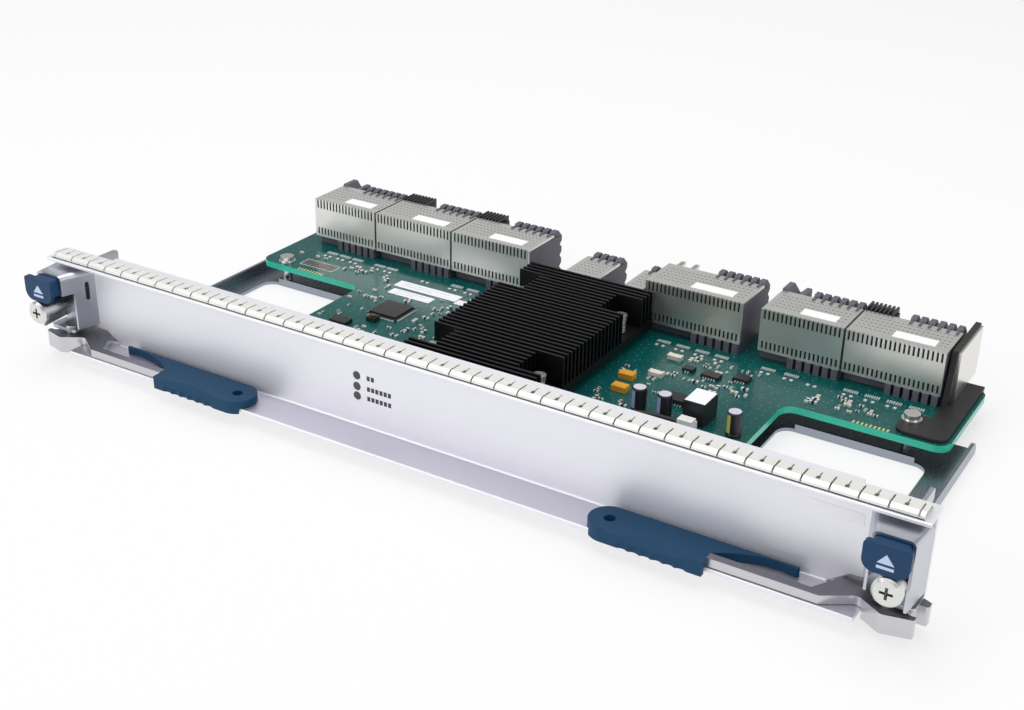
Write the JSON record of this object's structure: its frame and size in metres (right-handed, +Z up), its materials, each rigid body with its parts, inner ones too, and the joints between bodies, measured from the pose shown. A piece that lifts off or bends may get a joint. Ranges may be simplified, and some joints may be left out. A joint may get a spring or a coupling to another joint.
{
  "type": "switch fabric module",
  "caption": "Chassis switch module: metal front panel with swinging ejector levers and blue handles, board with finned heat sink and a row of backplane connectors.",
  "frame": {"origin": "middle of the module's overall box at the underside of the carrier tray", "axes": "+Z up, +X to the right along the panel seen from the front, +Y towards the backplane"},
  "size_m": [0.4044, 0.2004, 0.048],
  "materials": {
    "panel": "satin anodised",
    "cast_metal": "brushed",
    "sheet_steel": "galvanised",
    "spring_steel": "bright",
    "fastener": "bright nickel",
    "handle_plastic": "fine grain",
    "button_plastic": "fine grain",
    "board": "solder mask",
    "heat_sink": "black anodised",
    "tin_cover": "tinned",
    "connector_plastic": "moulded",
    "black_plastic": "moulded",
    "chip": "moulded",
    "tantalum": "moulded",
    "can": "sleeved",
    "plug": "moulded",
    "lead": "matte",
    "lamp": "clear",
    "label": "blank"
  },
  "bodies": {
    "module": {"blank_labels": "label", "board_screws": "fastener", "board_standoffs": "fastener", "carrier_tray": "sheet_steel", "circuit_board": "board", "connector_1_housing": "connector_plastic", "connector_1_shell": "tin_cover", "connector_2_housing": "connector_plastic", "connector_2_shell": "tin_cover", "connector_3_housing": "connector_plastic", "connector_3_shell": "tin_cover", "connector_4_housing": "connector_plastic", "connector_4_shell": "tin_cover", "connector_5_housing": "connector_plastic", "connector_5_shell": "tin_cover", "connector_6_housing": "connector_plastic", "connector_6_shell": "tin_cover", "controller_chip": "chip", "electrolytic_capacitors": "can", "emi_gasket": "spring_steel", "front_panel": "panel", "guide_blocks": "connector_plastic", "guide_pins": "fastener", "guide_plate": "spring_steel", "heat_sink": "heat_sink", "heat_sink_screws": "fastener", "heat_sink_springs": "spring_steel", "keying_guide": "black_plastic", "lead_plug": "plug", "left_button_guide": "sheet_steel", "left_button_spring": "spring_steel", "left_end_bracket": "sheet_steel", "left_pivot_pin": "fastener", "left_screw_ferrule": "fastener", "light_board": "board", "light_lead": "lead", "low_connector_housings": "connector_plastic", "low_connector_shells": "tin_cover", "power_blocks": "black_plastic", "power_module": "chip", "right_button_guide": "sheet_steel", "right_button_spring": "spring_steel", "right_end_bracket": "sheet_steel", "right_pivot_pin": "fastener", "right_screw_ferrule": "fastener", "shielded_inductor": "chip", "small_chips": "chip", "status_lights": "lamp", "switch_chip": "chip", "tantalum_capacitors": "tantalum"},
    "left_lever": {"left_lever_arm": "cast_metal", "left_lever_handle": "handle_plastic"},
    "left_button": {"left_eject_button": "button_plastic"},
    "left_screw_carrier": {"left_screw_spring": "spring_steel"},
    "left_screw": {"left_captive_screw": "fastener"},
    "right_lever": {"right_lever_arm": "cast_metal", "right_lever_handle": "handle_plastic"},
    "right_button": {"right_eject_button": "button_plastic"},
    "right_screw_carrier": {"right_screw_spring": "spring_steel"},
    "right_screw": {"right_captive_screw": "fastener"}
  },
  "joints": [
    {"name": "left_lever_hinge", "type": "hinge", "parent": "module", "child": "left_lever", "pos_m": [-0.19, -0.08325, 0.0075], "axis": [0, 0, -1], "range_deg": [0, 55]},
    {"name": "left_button_press", "type": "slide", "parent": "module", "child": "left_button", "axis": [0, 1, 0], "range_m": [0, 0.004], "stiffness_N_per_m": 250, "deforming": ["left_button_spring"]},
    {"name": "left_screw_slide", "type": "slide", "parent": "module", "child": "left_screw_carrier", "axis": [0, 1, 0], "range_m": [0, 0.005], "stiffness_N_per_m": 150, "deforming": ["left_screw_spring"]},
    {"name": "left_screw_turn", "type": "hinge", "parent": "left_screw_carrier", "child": "left_screw", "pos_m": [-0.1925, -0.08975, 0.0253], "axis": [0, 1, 0], "continuous": true},
    {"name": "right_lever_hinge", "type": "hinge", "parent": "module", "child": "right_lever", "pos_m": [0.19, -0.08325, 0.0075], "axis": [0, 0, 1], "range_deg": [0, 55]},
    {"name": "right_button_press", "type": "slide", "parent": "module", "child": "right_button", "axis": [0, 1, 0], "range_m": [0, 0.004], "stiffness_N_per_m": 250, "deforming": ["right_button_spring"]},
    {"name": "right_screw_slide", "type": "slide", "parent": "module", "child": "right_screw_carrier", "axis": [0, 1, 0], "range_m": [0, 0.005], "stiffness_N_per_m": 150, "deforming": ["right_screw_spring"]},
    {"name": "right_screw_turn", "type": "hinge", "parent": "right_screw_carrier", "child": "right_screw", "pos_m": [0.1925, -0.08975, 0.0253], "axis": [0, 1, 0], "continuous": true}
  ]
}
